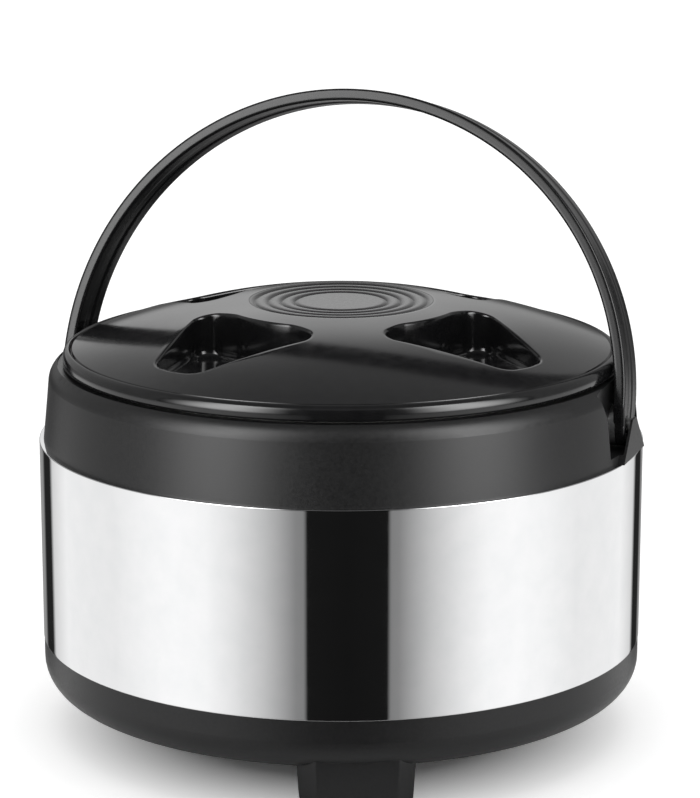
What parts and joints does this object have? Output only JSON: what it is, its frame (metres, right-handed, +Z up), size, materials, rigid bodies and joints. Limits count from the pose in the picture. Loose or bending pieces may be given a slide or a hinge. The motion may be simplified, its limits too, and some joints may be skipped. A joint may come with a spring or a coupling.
{
  "type": "electric food warmer",
  "caption": "Round insulated electric food warmer with a polished steel body, a black lift-off lid with finger scoops and an arched bail handle.",
  "frame": {"origin": "on the floor, under the axis of the round body", "axes": "+Z up; +X along the bail's pivot line; the bail leans back towards +Y, where the power inlet is"},
  "size_m": [0.24, 0.24, 0.2554],
  "materials": {
    "black_satin": "satin black moulded plastic",
    "black_gloss": "glossy black moulded plastic",
    "bail_plastic": "semi-gloss black moulded plastic",
    "mirror_steel": "mirror-polished stainless steel",
    "pot_steel": "satin stainless steel",
    "zinc_steel": "zinc-plated steel",
    "aluminium": "plain sheet",
    "foam": "rigid foam",
    "silicone": "grey silicone",
    "rubber_black": "black rubber",
    "mica": "pressed mica",
    "ceramic": "unglazed ceramic",
    "brass": "plated brass",
    "lead_insulation": "silicone-covered wire"
  },
  "bodies": {
    "body": {"leg_1": "black_satin", "leg_2": "black_satin", "leg_3": "black_satin", "foot_pad_1": "rubber_black", "foot_pad_2": "rubber_black", "foot_pad_3": "rubber_black", "leg_screws": "zinc_steel", "base_tray": "black_satin", "bottom_cover": "black_satin", "cover_screws": "zinc_steel", "heat_shield": "aluminium", "shield_screws": "zinc_steel", "inlet_housing": "black_satin", "inlet_pins": "brass", "inlet_screws": "zinc_steel", "terminal_block": "ceramic", "supply_leads": "lead_insulation", "heater_leads": "lead_insulation", "outer_shell": "mirror_steel", "body_insulation": "foam", "inner_pot": "pot_steel", "pot_gasket": "silicone", "heater_plate": "aluminium", "heating_element": "mica", "mica_sheet": "mica", "clamp_plate": "zinc_steel", "clamp_nut": "zinc_steel", "thermostat": "black_satin", "thermal_fuse": "ceramic", "fuse_clip": "zinc_steel", "top_collar": "black_satin", "pivot_washer_right": "zinc_steel", "pivot_washer_left": "zinc_steel", "pivot_pin_right": "zinc_steel", "pivot_pin_left": "zinc_steel"},
    "lid": {"lid_liner": "pot_steel", "lid_gasket": "silicone", "lid_insulation": "foam", "lid_cover": "black_gloss", "lid_medallion": "black_gloss"},
    "bail": {"bail_handle": "bail_plastic"}
  },
  "joints": [
    {"name": "bail_swing", "type": "hinge", "parent": "body", "child": "bail", "pos_m": [0, 0, 0.131], "axis": [1, 0, 0], "range_deg": [-21, 45]},
    {"name": "lid_lift", "type": "slide", "parent": "body", "child": "lid", "axis": [0, 0, 1], "range_m": [0, 0.0095]}
  ]
}
